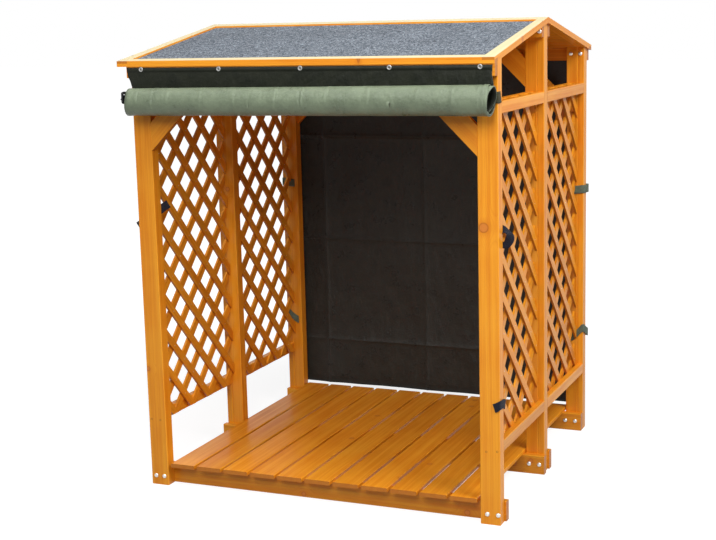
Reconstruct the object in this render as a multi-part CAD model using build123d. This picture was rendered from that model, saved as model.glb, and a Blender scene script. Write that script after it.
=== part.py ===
from build123d import *
import math
import os

# Open log store with a low gable roof, lattice sides and two tarpaulins.
# Millimetres, +Z up, the open front looks towards -Y.

# Main frame
frame_width = 1350.0
frame_depth = 1215.0
ridge_height = 1675.0
roof_pitch = 10.3

# Posts
post_width = 70.0
post_thickness = 45.0
inner_width = 45.0
stile_width = 25.0
side_inset = 10.0

# Bearers and floor
bearer_height = 71.0
bearer_thickness = 28.0
bearer_proud = 7.0
board_count = 11
board_width = 97.0
board_thickness = 15.0
board_end_clearance = 3.0

# Beams under the roof
beam_height = 40.0
beam_thickness = 28.0

# Side rails
rail_height = 40.0
rail_thickness = 25.0
top_rail_drop = 131.0
bottom_rail_level = 236.0

# Lattice
lath_width = 30.0
lath_thickness = 8.0
lath_pitch = 131.5
outer_lath_angle = 44.2
inner_lath_angle = 45.8
lattice_end_gap = 6.0
lattice_foot_gap = 9.0

# Heights at which a rising and a falling lath meet each panel's front edge
left_front_starts = (57.0, 61.0)
left_rear_starts = (116.0, 97.0)
right_front_starts = (123.0, 106.0)
right_rear_starts = (91.0, 32.0)

# Corner braces
brace_width = 70.0
brace_thickness = 22.0
eave_brace_drop = 303.0
ridge_brace_drop = 219.5
brace_top_gap = 6.0

# Roof
eave_trim_width = 34.0
barge_eave_width = 42.0
barge_ridge_width = 31.0
ridge_batten_width = 40.0
trim_height = 20.0
corner_lap_height = 11.5
roof_deck_thickness = 12.0
felt_thickness = 2.0
eave_overhang = 4.0
roof_left_inset = 10.0
roof_right_overhang = 0.0
left_eave_splay = 46.0

# Tarpaulins and their straps
tarp_thickness = 2.4
tarp_top_gap = 4.0
roll_depth = 86.0
roll_height = 102.0
roll_drop = 164.0
roll_sides = 32
roll_right_overhang = 5.0
tarp_left_inset = 18.0
rear_tarp_inset = 30.0
rear_tarp_clearance = 90.0
strap_thickness = 2.0
strap_width = 40.0
strap_setback = 14.0
lower_strap_height = 395.0
upper_strap_drop = 256.0

# Fits
edge_ease = 2.0
soft_clearance = 0.3

# Derived positions, with the front face of the front posts at y = 0
half = frame_width / 2
side_face = half - side_inset
ridge_y = frame_depth / 2
middle_front = ridge_y - post_thickness / 2
middle_back = middle_front + post_thickness
rear_front = frame_depth - post_thickness
pair_width = stile_width + inner_width
pair_inner_face = side_face - pair_width
slope = math.tan(math.radians(roof_pitch))
plumb = 1 / math.cos(math.radians(roof_pitch))
trim_plumb = trim_height * plumb
deck_plumb = roof_deck_thickness * plumb
felt_plumb = felt_thickness * plumb
lap_plumb = corner_lap_height * plumb
eave_front = -beam_thickness - eave_overhang
eave_back = frame_depth + beam_thickness + eave_overhang
roof_left = -half + roof_left_inset
roof_right = half + roof_right_overhang
floor_top = bearer_height + board_thickness


def underside(y):
    """Height of the underside of the roof above the line y."""
    return ridge_height - trim_plumb - abs(y - ridge_y) * slope


def beam(x0, x1, y0, y1, z0, z1, ease=edge_ease, axis=None):
    """Straight timber between two corners, with eased long edges."""
    solid = Box(x1 - x0, y1 - y0, z1 - z0, align=(Align.MIN, Align.MIN, Align.MIN))
    solid = Pos(x0, y0, z0) * solid
    if ease > 0:
        sizes = {Axis.X: x1 - x0, Axis.Y: y1 - y0, Axis.Z: z1 - z0}
        along = axis or max(sizes, key=sizes.get)
        solid = chamfer(solid.edges().filter_by(along), ease)
    return solid


def across(points, x0, x1):
    """Profile in the YZ plane, extruded along X from x0 to x1."""
    face = make_face(Polyline(*[(x0, y, z) for y, z in points], close=True))
    return extrude(face, amount=x1 - x0, dir=(1, 0, 0))


def along_depth(points, y0, y1):
    """Profile in the XZ plane, extruded along Y from y0 to y1."""
    face = make_face(Polyline(*[(x, y0, z) for x, z in points], close=True))
    return extrude(face, amount=y1 - y0, dir=(0, 1, 0))


def left_edge(y):
    """Left edge of the roof above the line y, splayed towards the front eave."""
    run = max(0, ridge_y - y) / (ridge_y - eave_front)
    return roof_left - run * left_eave_splay


def barge_width(y):
    """Width of the barge boards, which taper towards the ridge."""
    share = abs(ridge_y - y) / (ridge_y - eave_front)
    return barge_ridge_width + share * (barge_eave_width - barge_ridge_width)


def left_joint(y):
    """Inner side of the left barge boards."""
    return left_edge(y) + barge_width(y)


def right_joint(y):
    """Inner side of the right barge boards."""
    return roof_right - barge_width(y)


def right_edge(y):
    return roof_right


def roof_piece(left, right, y0, y1, low, high):
    """Piece that follows the roof from y0 to y1, cut plumb between two edges."""
    points = [
        (y0, underside(y0) + low),
        (y1, underside(y1) + low),
        (y1, underside(y1) + high),
        (y0, underside(y0) + high),
    ]
    plan = Polyline((left(y0), y0), (right(y0), y0), (right(y1), y1), (left(y1), y1), close=True)
    x0 = min(left(y0), left(y1))
    x1 = max(right(y0), right(y1))
    return across(points, x0, x1) & extrude(make_face(plan), amount=ridge_height)


def under_roof(x0, x1, y0, y1, z0):
    """Upright timber whose top is cut to the roof's slope."""
    points = [(y0, z0), (y1, z0), (y1, underside(y1)), (y0, underside(y0))]
    return across(points, x0, x1)


def mirrored(solid):
    return mirror(solid, about=Plane.YZ)


nodes = {}


def both_sides(name, solid):
    """The right-hand piece and its mirror image on the left."""
    nodes[name + "_right"] = [solid]
    nodes[name + "_left"] = [mirrored(solid)]


eave_level = underside(0)
middle_top = underside(middle_front)
top_rail_level = eave_level - top_rail_drop - rail_height

# Front posts: one timber each, the top cut to the roof
front_post = under_roof(half - post_width, half, 0, post_thickness, 0)
front_post = chamfer(front_post.edges().filter_by(Axis.Z), edge_ease)
both_sides("front_post", front_post)

# Middle posts stop flat under the ridge, rear posts are cut to the slope
stile_inner = side_face - stile_width
both_sides("middle_stile", beam(stile_inner, side_face, middle_front, middle_back, 0, middle_top))
both_sides("middle_post", beam(pair_inner_face, stile_inner, middle_front, middle_back, 0, middle_top))
for name, x0, x1 in (("rear_stile", stile_inner, side_face), ("rear_post", pair_inner_face, stile_inner)):
    upright = under_roof(x0, x1, rear_front, frame_depth, 0)
    both_sides(name, chamfer(upright.edges().filter_by(Axis.Z), edge_ease))

# Bearers bolted to the feet of the posts
front_end = half + bearer_proud
middle_end = side_face + bearer_proud
nodes["front_bearer"] = [
    beam(-front_end, front_end, post_thickness, post_thickness + bearer_thickness, 0, bearer_height)
]
nodes["middle_bearer_front"] = [
    beam(-middle_end, middle_end, middle_front - bearer_thickness, middle_front, 0, bearer_height)
]
nodes["middle_bearer_back"] = [
    beam(-middle_end, middle_end, middle_back, middle_back + bearer_thickness, 0, bearer_height)
]
nodes["rear_bearer"] = [
    beam(-side_face, side_face, rear_front - bearer_thickness, rear_front, 0, bearer_height)
]

# Floor boards run from front to back between the posts
floor_half = pair_inner_face - board_end_clearance
board_step = (2 * floor_half - board_width) / (board_count - 1)
nodes["floor_boards"] = [
    beam(-floor_half + i * board_step, -floor_half + i * board_step + board_width,
         0, frame_depth, bearer_height, floor_top)
    for i in range(board_count)
]

# Beams that carry the roof, their tops bevelled to its slope


def roof_beam(x1, y0, y1):
    low = min(underside(y0), underside(y1)) - beam_height
    return under_roof(-x1, x1, y0, y1, low)


beam_front = -beam_thickness
beam_back = frame_depth + beam_thickness
nodes["front_top_beam"] = [roof_beam(half, beam_front, 0)]
nodes["rear_top_beam"] = [roof_beam(side_face, frame_depth, beam_back)]
nodes["ridge_beam_front"] = [roof_beam(side_face, middle_front - beam_thickness, middle_front)]
nodes["ridge_beam_back"] = [roof_beam(side_face, middle_back, middle_back + beam_thickness)]

# Side rails butt between the posts, and at the top a second rail holds the lattice from inside
bays = ((post_thickness, middle_front), (middle_back, rear_front))
rail_inner = side_face - rail_thickness
lattice_inner = rail_inner - 2 * lath_thickness
outer_rail = (rail_inner, side_face)
inner_rail = (pair_inner_face, lattice_inner)
for name, level, rails in (
    ("top_rails", top_rail_level, (outer_rail, inner_rail)),
    ("bottom_rails", bottom_rail_level, (outer_rail,)),
):
    pieces = [
        beam(x0, x1, y0, y1, level, level + rail_height)
        for x0, x1 in rails
        for y0, y1 in bays
    ]
    nodes[name + "_right"] = pieces
    nodes[name + "_left"] = [mirrored(piece) for piece in pieces]

# Lattice panels, nailed to the inner faces of the outer rails
lattice_low = bottom_rail_level + lattice_foot_gap
lattice_height = top_rail_level + rail_height - lattice_low
lattice_depth = middle_front - post_thickness - 2 * lattice_end_gap


def lath_layer(x0, rising, angle, first):
    """Parallel laths that meet the panel's front edge at the height first, and on by even steps."""
    window = Pos(lattice_depth / 2, lattice_height / 2) * Rectangle(lattice_depth, lattice_height)
    steepness = math.tan(math.radians(angle))
    step = lath_pitch * steepness
    reach = lattice_depth + lattice_height
    count = math.ceil(reach / step)
    laths = []
    for i in range(-count, count + 1):
        height = first + i * step
        if rising:
            start = max(0, -height / steepness)
            stop = min(lattice_depth, (lattice_height - height) / steepness)
        else:
            start = max(0, (height - lattice_height) / steepness)
            stop = min(lattice_depth, height / steepness)
        if stop - start >= lath_width:
            turn = angle if rising else -angle
            strip = Pos(0, height) * Rot(0, 0, turn) * Rectangle(4 * reach, lath_width)
            laths.append(strip & window)
    plane = Plane(origin=(x0, 0, 0), x_dir=(0, 1, 0), z_dir=(1, 0, 0))
    return extrude(plane * (Sketch() + laths), amount=lath_thickness)


def lattice_panel(rising_angle, falling_angle, starts):
    """Two crossed layers: the one on the +X side falls towards the back."""
    rising = lath_layer(0, True, rising_angle, starts[0])
    falling = lath_layer(lath_thickness, False, falling_angle, starts[1])
    # Short ends that cross no other lath fall away
    return max((rising + falling).solids(), key=lambda solid: solid.volume)


for word, x0, angles, starts in (
    ("right", lattice_inner, (inner_lath_angle, outer_lath_angle), (right_front_starts, right_rear_starts)),
    ("left", -rail_inner, (outer_lath_angle, inner_lath_angle), (left_front_starts, left_rear_starts)),
):
    for bay, y0, first in (("front", post_thickness, starts[0]), ("rear", middle_back, starts[1])):
        panel = Pos(x0, y0 + lattice_end_gap, lattice_low) * lattice_panel(*angles, first)
        nodes["lattice_" + word + "_" + bay] = [panel]

# Corner braces: boards at 45 degrees between a post and the beam above it


def brace(post_face, foot, top, y0):
    rise = brace_width * math.sqrt(2)
    points = [
        (post_face, foot),
        (post_face, foot + rise),
        (post_face - (top - foot - rise), top),
        (post_face - (top - foot), top),
    ]
    return along_depth(points, y0, y0 + brace_thickness)


front_brace_top = eave_level - brace_top_gap
eave_brace_foot = eave_level - eave_brace_drop
ridge_brace_foot = middle_top - ridge_brace_drop
front_brace = brace(half - post_width, eave_brace_foot, front_brace_top, 0)
rear_brace = brace(pair_inner_face, eave_brace_foot, front_brace_top, frame_depth - brace_thickness)
ridge_brace_top = middle_top - brace_top_gap
middle_brace = brace(pair_inner_face, ridge_brace_foot, ridge_brace_top, middle_front)
nodes["front_braces"] = [front_brace, mirrored(front_brace)]
nodes["rear_braces"] = [rear_brace, mirrored(rear_brace)]
nodes["middle_braces"] = [middle_brace, mirrored(middle_brace)]

# Roof: boarded slopes inside a frame of battens, with felt on top
eave_inner = eave_front + eave_trim_width
eave_inner_back = eave_back - eave_trim_width
felt_top = deck_plumb + felt_plumb
front_slope = (eave_inner, ridge_y)
rear_slope = (ridge_y, eave_inner_back)
nodes["roof_boards_front"] = [roof_piece(left_joint, right_joint, *front_slope, 0, deck_plumb)]
nodes["roof_boards_rear"] = [roof_piece(left_joint, right_joint, *rear_slope, 0, deck_plumb)]
felt = [roof_piece(left_joint, right_joint, *run, deck_plumb, felt_top) for run in (front_slope, rear_slope)]
nodes["roof_felt"] = [felt[0] + felt[1]]

# At the corners the eave trim and the barge boards are halved over each other
front_corner = (eave_front, eave_inner)
rear_corner = (eave_inner_back, eave_back)
for word, run in (("front", front_corner), ("rear", rear_corner)):
    whole = roof_piece(left_joint, right_joint, *run, 0, trim_plumb)
    lap = roof_piece(left_edge, right_edge, *run, 0, lap_plumb)
    nodes[word + "_eave_trim"] = [whole + lap]
for word, outer, inner in (("left", left_edge, left_joint), ("right", right_joint, right_edge)):
    for bay, run, corner in (("front", front_slope, front_corner), ("rear", rear_slope, rear_corner)):
        whole = roof_piece(outer, inner, *run, 0, trim_plumb)
        lap = roof_piece(outer, inner, *corner, lap_plumb, trim_plumb)
        nodes["barge_board_" + word + "_" + bay] = [whole + lap]
batten_front = (ridge_y - ridge_batten_width, ridge_y)
batten_rear = (ridge_y, ridge_y + ridge_batten_width)
for word, run in (("front", batten_front), ("rear", batten_rear)):
    nodes["ridge_batten_" + word] = [roof_piece(left_joint, right_joint, *run, felt_top, trim_plumb)]

# Front tarpaulin: hangs from the front beam and is rolled up below it
tarp_face = beam_front - soft_clearance
tarp_back = tarp_face - tarp_thickness
tarp_top = underside(beam_front) - tarp_top_gap
tarp_left = -half + tarp_left_inset
roll_y = tarp_back - roll_depth / 2 + tarp_thickness * 3
roll_z = underside(beam_front) - roll_drop + roll_height / 2
curtain = beam(tarp_left, half, tarp_back, tarp_face, roll_z, tarp_top, ease=0)
roll_turns = [2 * math.pi * i / roll_sides for i in range(roll_sides)]
roll_section = [
    (roll_y + roll_depth / 2 * math.cos(turn), roll_z + roll_height / 2 * math.sin(turn))
    for turn in roll_turns
]
roll = across(roll_section, tarp_left, half + roll_right_overhang)
nodes["front_tarp"] = [curtain + roll]

# Rear tarpaulin: hangs behind the rear beam and closes the back
rear_tarp_front = beam_back + soft_clearance
rear_tarp_half = side_face - rear_tarp_inset
rear_tarp_top = underside(beam_back) - tarp_top_gap
nodes["rear_tarp"] = [
    beam(-rear_tarp_half, rear_tarp_half, rear_tarp_front, rear_tarp_front + tarp_thickness,
         rear_tarp_clearance, rear_tarp_top, ease=0)
]

# Straps of webbing: the front ones are fixed to the sides of the posts and pass behind them,
# the rear ones go all the way round


def band(x0, x1, y0, y1, level, closed):
    """Band of webbing with its inside on the given rectangle, open or closed at the front."""
    front = strap_thickness if closed else 0
    outline = Pos((x0 + x1) / 2, (y0 - front + y1 + strap_thickness) / 2) * Rectangle(
        x1 - x0 + 2 * strap_thickness, y1 - y0 + strap_thickness + front
    )
    hole = Pos((x0 + x1) / 2, (y0 + y1) / 2) * Rectangle(x1 - x0, y1 - y0)
    return extrude(Pos(0, 0, level - strap_width / 2) * (outline - hole), amount=strap_width)


front_straps = []
rear_straps = []
for level in (lower_strap_height, eave_brace_foot - upper_strap_drop):
    loop = band(half - post_width - soft_clearance, half + soft_clearance,
                strap_setback, post_thickness + soft_clearance, level, False)
    front_straps += [loop, mirrored(loop)]
    loop = band(pair_inner_face - soft_clearance, side_face + soft_clearance,
                rear_front - soft_clearance, rear_tarp_front - soft_clearance - strap_thickness, level, True)
    rear_straps += [loop, mirrored(loop)]
nodes["front_post_straps"] = front_straps
nodes["rear_post_straps"] = rear_straps

# The origin is the middle of the footprint of the whole store, on the ground
copies = [piece.solids()[0].moved(Location()) for pieces in nodes.values() for piece in pieces]
bounds = Compound(children=copies).bounding_box()
shift = Pos(-(bounds.min.X + bounds.max.X) / 2, -(bounds.min.Y + bounds.max.Y) / 2, -bounds.min.Z)

os.makedirs("parts", exist_ok=True)
for name, pieces in nodes.items():
    solids = [shift * solid for piece in pieces for solid in piece.solids()]
    shape = solids[0] if len(solids) == 1 else Compound(children=solids)
    shape.label = name
    export_step(shape, "parts/" + name + ".step")
print(len(nodes), "nodes", [round(v, 2) for v in (bounds.size.X, bounds.size.Y, bounds.size.Z)])
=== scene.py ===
import math

import bpy
import numpy as np
from mathutils import Matrix, Vector, noise

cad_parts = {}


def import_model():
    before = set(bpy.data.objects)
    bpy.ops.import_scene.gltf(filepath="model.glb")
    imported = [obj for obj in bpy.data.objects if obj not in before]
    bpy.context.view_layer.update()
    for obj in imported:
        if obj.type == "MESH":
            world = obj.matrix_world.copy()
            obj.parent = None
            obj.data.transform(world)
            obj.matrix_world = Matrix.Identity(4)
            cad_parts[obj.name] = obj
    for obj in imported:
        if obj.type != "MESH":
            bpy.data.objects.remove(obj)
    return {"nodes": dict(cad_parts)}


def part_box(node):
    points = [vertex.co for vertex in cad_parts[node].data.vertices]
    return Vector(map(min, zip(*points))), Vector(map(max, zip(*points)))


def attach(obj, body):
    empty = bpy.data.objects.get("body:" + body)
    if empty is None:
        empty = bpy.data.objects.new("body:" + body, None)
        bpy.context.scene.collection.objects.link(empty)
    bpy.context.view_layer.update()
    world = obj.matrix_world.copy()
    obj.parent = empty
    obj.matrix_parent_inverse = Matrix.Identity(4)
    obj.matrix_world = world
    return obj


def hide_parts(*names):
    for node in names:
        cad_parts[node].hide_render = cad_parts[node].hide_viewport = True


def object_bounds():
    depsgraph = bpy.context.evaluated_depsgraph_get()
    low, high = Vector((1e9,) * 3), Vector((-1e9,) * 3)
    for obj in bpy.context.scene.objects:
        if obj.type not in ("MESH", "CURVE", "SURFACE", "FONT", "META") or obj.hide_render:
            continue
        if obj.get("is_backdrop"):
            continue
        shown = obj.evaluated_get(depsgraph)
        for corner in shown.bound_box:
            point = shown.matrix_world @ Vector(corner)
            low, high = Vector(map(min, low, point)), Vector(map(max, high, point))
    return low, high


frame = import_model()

cad_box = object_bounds()
nodes = frame["nodes"]
scene = bpy.context.scene

# Places are given in millimetres from the middle of the front posts' front faces, on the ground
MM = 0.001
post_low, post_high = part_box("front_post_right")
left_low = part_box("front_post_left")[0]
ORIGIN = Vector(((post_high.x + left_low.x) / 2, post_low.y, 0))


def at(x, y, z):
    """Point in the frame's metres from millimetres."""
    return ORIGIN + Vector((x, y, z)) * MM


def reach(node):
    """Lowest and highest corner of a node in millimetres."""
    low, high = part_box(node)
    return (low - ORIGIN) / MM, (high - ORIGIN) / MM


# Form of the frame, most of it read from its nodes
HALF = (post_high.x - ORIGIN.x) / MM
POST_BACK = (post_high.y - ORIGIN.y) / MM
POST_INNER = (post_low.x - ORIGIN.x) / MM
SIDE_FACE = reach("middle_stile_right")[1].x
STILE_INNER = reach("middle_stile_right")[0].x
middle_low, middle_high = reach("middle_post_right")
PAIR_INNER = middle_low.x
RIDGE_Y = (middle_low.y + middle_high.y) / 2
REAR_FRONT = reach("rear_post_right")[0].y
EAVE_FRONT = reach("front_top_beam")[0].y
PITCH = math.radians(10.3)
BRACE_WIDTH = 70.0
FLOOR_COUNT, BOARD_WIDTH = 11, 97.0
floor_low, floor_high = reach("floor_boards")
FLOOR_STEP = (floor_high.x - floor_low.x - BOARD_WIDTH) / (FLOOR_COUNT - 1)
# Laths: even distance along a panel, angles of the two layers, and the heights at which a rising
# and a falling lath meet each panel's front edge
LATH_PITCH = 131.5
OUTER_ANGLE, INNER_ANGLE = math.radians(44.2), math.radians(45.8)
LATH_STARTS = {
    "lattice_left_front": (57.0, 61.0), "lattice_left_rear": (116.0, 97.0),
    "lattice_right_front": (123.0, 106.0), "lattice_right_rear": (91.0, 32.0),
}


# Shader graphs


class Graph:
    """Shader nodes of a material or of the world."""

    def __init__(self, owner):
        owner.use_nodes = True
        self.nodes, self.links = owner.node_tree.nodes, owner.node_tree.links
        self.nodes.clear()

    def plug(self, value, socket):
        """A link where value is a socket, otherwise a constant."""
        if isinstance(value, bpy.types.NodeSocket):
            self.links.new(value, socket)
        else:
            socket.default_value = value

    def node(self, kind, inputs, **settings):
        node = self.nodes.new("ShaderNode" + kind)
        for key, value in settings.items():
            setattr(node, key, value)
        for socket, value in inputs.items():
            self.plug(value, node.inputs[socket])
        return node

    def math(self, operation, *values):
        node = self.node("Math", {}, operation=operation)
        for i, value in enumerate(values):
            self.plug(value, node.inputs[i])
        return node.outputs[0]

    def plus(self, a, b):
        return self.math("ADD", a, b)

    def minus(self, a, b):
        return self.math("SUBTRACT", a, b)

    def times(self, a, b):
        return self.math("MULTIPLY", a, b)

    def dot(self, vector, direction):
        node = self.node("VectorMath", {0: vector, 1: direction}, operation="DOT_PRODUCT")
        return node.outputs["Value"]

    def length(self, a, b):
        return self.math("SQRT", self.plus(*(self.math("POWER", value, 2.0) for value in (a, b))))

    def ripple(self, value, pitch):
        return self.math("SINE", self.times(value, 2 * math.pi / pitch))

    def stretch(self, vector, factors):
        return self.node("VectorMath", {0: vector, 1: factors}, operation="MULTIPLY").outputs[0]

    def position(self):
        return self.node("TexCoord", {}).outputs["Object"]

    def normal(self):
        return self.node("TexCoord", {}).outputs["Normal"]

    def attribute(self, name):
        return self.node("Attribute", {}, attribute_name=name).outputs["Vector"]

    def combine(self, x, y, z):
        return self.node("CombineXYZ", {0: x, 1: y, 2: z}).outputs[0]

    def split(self, vector):
        return self.node("SeparateXYZ", {0: vector}).outputs

    def noise(self, vector, scale, detail=2.0, roughness=0.5):
        inputs = {"Vector": vector, "Scale": scale, "Detail": detail, "Roughness": roughness}
        return self.node("TexNoise", inputs).outputs[0]

    def cells(self, vector, scale, output="Distance", dimensions="3D"):
        inputs = {"Vector": vector, "Scale": scale}
        return self.node("TexVoronoi", inputs, voronoi_dimensions=dimensions).outputs[output]

    def luck(self, number):
        """Three random values from one number."""
        return self.split(self.node("TexWhiteNoise", {"W": number}, noise_dimensions="1D").outputs["Color"])

    def ramp(self, value, *stops):
        """Colour ramp; a stop is a position with a grey value or a colour."""
        node = self.node("ValToRGB", {0: value})
        elements = node.color_ramp.elements
        while len(elements) < len(stops):
            elements.new(0.5)
        for element, (place, colour) in zip(elements, stops):
            element.position = place
            grey = isinstance(colour, (int, float))
            element.color = (colour, colour, colour, 1) if grey else (*colour, 1)
        return node.outputs[0]

    def fit(self, value, low, high, to_low=0.0, to_high=1.0):
        """Value from low to high becomes to_low to to_high, smoothly and clamped."""
        inputs = {0: value, 1: low, 2: high, 3: to_low, 4: to_high}
        return self.node("MapRange", inputs, interpolation_type="SMOOTHSTEP").outputs[0]

    def mix(self, factor, a, b, mode="MIX"):
        node = self.node("Mix", {}, data_type="RGBA", blend_type=mode, clamp_factor=True)
        for socket, value in ((0, factor), (6, a), (7, b)):
            self.plug((*value, 1) if isinstance(value, tuple) else value, node.inputs[socket])
        return node.outputs[2]

    def seen(self):
        """1 for what the camera sees, also by reflection or through glass."""
        rays = self.node("LightPath", {}).outputs
        shown = self.math("MAXIMUM", rays["Is Camera Ray"], rays["Is Glossy Ray"])
        return self.math("MAXIMUM", shown, rays["Is Transmission Ray"])


class Surface(Graph):
    """Shader nodes of one material, built round its Principled shader."""

    def __init__(self, name, **values):
        self.material = bpy.data.materials.new(name)
        super().__init__(self.material)
        self.shader = self.node("BsdfPrincipled", {})
        self.node("OutputMaterial", {0: self.shader.outputs[0]})
        for socket, value in values.items():
            self.shader.inputs[socket.replace("_", " ")].default_value = value

    def colour(self, value):
        self.plug(value, self.shader.inputs["Base Color"])

    def roughness(self, value):
        self.plug(value, self.shader.inputs["Roughness"])

    def bump(self, height, distance, strength=1.0, under=None):
        node = self.node("Bump", {"Height": height, "Distance": distance, "Strength": strength})
        if under is not None:
            self.plug(under, node.inputs["Normal"])
        self.plug(node.outputs[0], self.shader.inputs["Normal"])
        return node.outputs[0]


# Timber

X, Y, Z = Vector((1, 0, 0)), Vector((0, 1, 0)), Vector((0, 0, 1))
RISE, FALL = (Vector((0, math.cos(PITCH), way * math.sin(PITCH))) for way in (1, -1))
STAIN = (0.80, 0.288, 0.010)
STAIN_PALE = (0.88, 0.39, 0.028)
STAIN_DEEP = (0.61, 0.150, 0.005)
KNOT = (0.40, 0.095, 0.008)
KNOT_HEART = (0.66, 0.21, 0.035)
END_GRAIN = (0.42, 0.13, 0.012)
# Pale cream mixed into upward faces of the roof timber: painted light from above, not a colour of the wood
PAINTED_TOP_LIGHT_COLOUR = (0.58, 0.60, 0.37)
RING_WIDTH = 0.0042
# Pith of a board: its range aside, its least distance behind the middle and the spread of that, and
# how far it wanders along the board
PITH_RANGE, PITH_BEHIND, PITH_DEPTH, DRIFT = 0.07, 0.025, 0.05, 0.05
# Distance between chance knots, how far the grain bends round a knot, and by how much
KNOT_CELL, KNOT_REACH, KNOT_SWELL = 0.31, 0.045, 0.012
# Each board takes its grain from another stretch of the same pattern
BOARD_SHIFT = 7.31
# How closely streaks lie along, across and through, and how much closer fibres lie
STREAKS, FIBRES = (1.5, 60.0, 60.0), (9, 12, 12)
# Large knots that the photograph shows: place across and height, and size
POST_KNOT, POST_KNOT_SIZE = (624, 1010), 1.9
BEARER_KNOT, BEARER_KNOT_SIZE = (543, 15), 1.2


class Boards:
    """Coordinates of boards: along the grain, across and through, and the board's own number."""

    def __init__(self, graph, values, axes):
        self.graph, self.values, self.axes, self.number = graph, values, axes, 0.0

    def apart(self, axis, distance):
        """Boards at an even distance across the grain; each is numbered."""
        g = self.graph
        self.count(g.math("ROUND", g.math("DIVIDE", self.values[axis], distance)), 3.0)
        self.values[axis] = g.math("WRAP", self.values[axis], distance / 2, -distance / 2)

    def count(self, number, weight):
        g = self.graph
        self.number = g.plus(g.times(number, weight), self.number)


def boards_round(graph, centre, along, across):
    """Boards with their middle at the centre."""
    along, across = along.normalized(), across.normalized()
    axes = (along, across, along.cross(across))
    away = graph.node("VectorMath", {0: graph.position(), 1: centre}, operation="SUBTRACT").outputs[0]
    return Boards(graph, [graph.dot(away, axis) for axis in axes], axes)


def knot_distance(g, along, start, across, knots, knotty):
    """Distance to the nearest knot: a share of the chance ones, and those at given places."""
    spot = g.combine(g.math("DIVIDE", start, KNOT_CELL), g.math("DIVIDE", across, KNOT_CELL), 0.0)
    chance = g.split(g.cells(spot, 1.0, "Color", "2D"))[0]
    knot = g.times(g.cells(spot, 1.0, "Distance", "2D"), KNOT_CELL)
    knot = g.plus(knot, g.math("LESS_THAN", chance, 1 - knotty))
    for knot_along, knot_across, size in knots:
        away = g.length(g.minus(along, knot_along), g.minus(across, knot_across))
        knot = g.math("MINIMUM", knot, g.math("DIVIDE", away, size))
    return knot


def late_wood(g, start, across, through, pith, knot):
    """Dark part of the growth rings, from 0 to 1, which bends round the knots."""
    drift = g.noise(g.combine(g.times(start, 1.1), across, through), 1.6, 1.0)
    drift = g.math("MULTIPLY_ADD", drift, DRIFT, -DRIFT / 2)
    side = g.plus(g.math("MULTIPLY_ADD", pith[0], PITH_RANGE, -PITH_RANGE / 2), drift)
    depth = g.math("MULTIPLY_ADD", pith[1], PITH_DEPTH, PITH_BEHIND)
    radius = g.length(g.minus(across, side), g.plus(through, depth))
    radius = g.plus(radius, g.fit(knot, 0.0, KNOT_REACH, KNOT_SWELL, 0.0))
    ring = g.math("FRACT", g.math("DIVIDE", radius, RING_WIDTH))
    return g.ramp(ring, (0.0, 0.15), (0.45, 0.0), (0.86, 1.0), (1.0, 0.2))


def grain(boards, seed, knots=(), tone=1.0, knotty=0.5, bleached=0.0):
    """Stained softwood on a board's coordinates: rings, streaks, knots, end grain, paler arrises that are a
    painted highlight, and a painted cream top light on upward faces when asked for.
    """
    g = boards.graph
    along, across, through = boards.values
    number = g.plus(boards.number, seed)
    *pith, shade = g.luck(number)
    start = g.math("MULTIPLY_ADD", number, BOARD_SHIFT, along)
    knot = knot_distance(g, along, start, across, knots, knotty)
    late = late_wood(g, start, across, through, pith, knot)
    place = g.combine(start, across, through)
    stretched = g.stretch(place, STREAKS)
    streak = g.noise(stretched, 1.0, 3.0, 0.6)
    fibre = g.noise(g.stretch(stretched, FIBRES), 1.0, 2.0)
    cloud = g.noise(place, 5.0, 2.0)

    colour = g.mix(g.fit(streak, 0.3, 0.72), STAIN_DEEP, STAIN_PALE)
    colour = g.mix(0.5, colour, STAIN)
    colour = g.mix(g.times(late, 0.30), colour, STAIN_DEEP)
    colour = g.mix(g.fit(cloud, 0.35, 0.7, 0.0, 0.28), colour, STAIN_PALE)
    colour = g.mix(g.fit(fibre, 0.55, 0.8, 0.0, 0.25), colour, STAIN_DEEP)
    lightness = g.math("MULTIPLY_ADD", shade, 0.20, 0.90 * tone)
    colour = g.mix(1.0, colour, g.combine(lightness, lightness, lightness), "MULTIPLY")
    colour = g.mix(g.fit(knot, 0.006, 0.022, 0.45, 0.0), colour, STAIN_DEEP)
    heart = g.fit(knot, 0.0065, 0.0085, 1.0, 0.0)
    colour = g.mix(g.times(heart, 0.8), colour, KNOT_HEART)
    centimetres = g.times(knot, 100.0)
    rim = g.ramp(centimetres, (0.0, 0.35), (0.12, 0.0), (0.62, 0.1), (0.8, 0.75), (0.98, 0.0))
    colour = g.mix(rim, colour, KNOT)

    facing = [g.math("ABSOLUTE", g.dot(g.normal(), axis)) for axis in boards.axes]
    end = g.fit(facing[0], 0.75, 0.92)
    end_colour = g.mix(g.times(late, 0.7), END_GRAIN, KNOT)
    colour = g.mix(g.times(end, 0.75), colour, end_colour)
    # Faces at a slant to the board's axes, the arrises, are mixed towards the pale stain: a painted
    # highlight where edges catch the light
    flat = g.math("MAXIMUM", facing[0], g.math("MAXIMUM", facing[1], facing[2]))
    arris_highlight = g.fit(flat, 0.72, 0.90, 0.42, 0.0)
    colour = g.mix(arris_highlight, colour, STAIN_PALE)
    # Upward faces turn towards the pale cream: painted top light
    if bleached:
        top_light_share = g.fit(g.dot(g.normal(), Z), 0.88, 0.96, 0.0, bleached)
        colour = g.mix(top_light_share, colour, PAINTED_TOP_LIGHT_COLOUR)
    g.colour(colour)

    g.roughness(g.fit(streak, 0.3, 0.7, 0.58, 0.46))
    relief = g.plus(g.times(late, -0.35), g.times(fibre, 0.5))
    relief = g.plus(relief, g.times(heart, 0.3))
    g.bump(relief, 0.0005)
    return g.material


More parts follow.
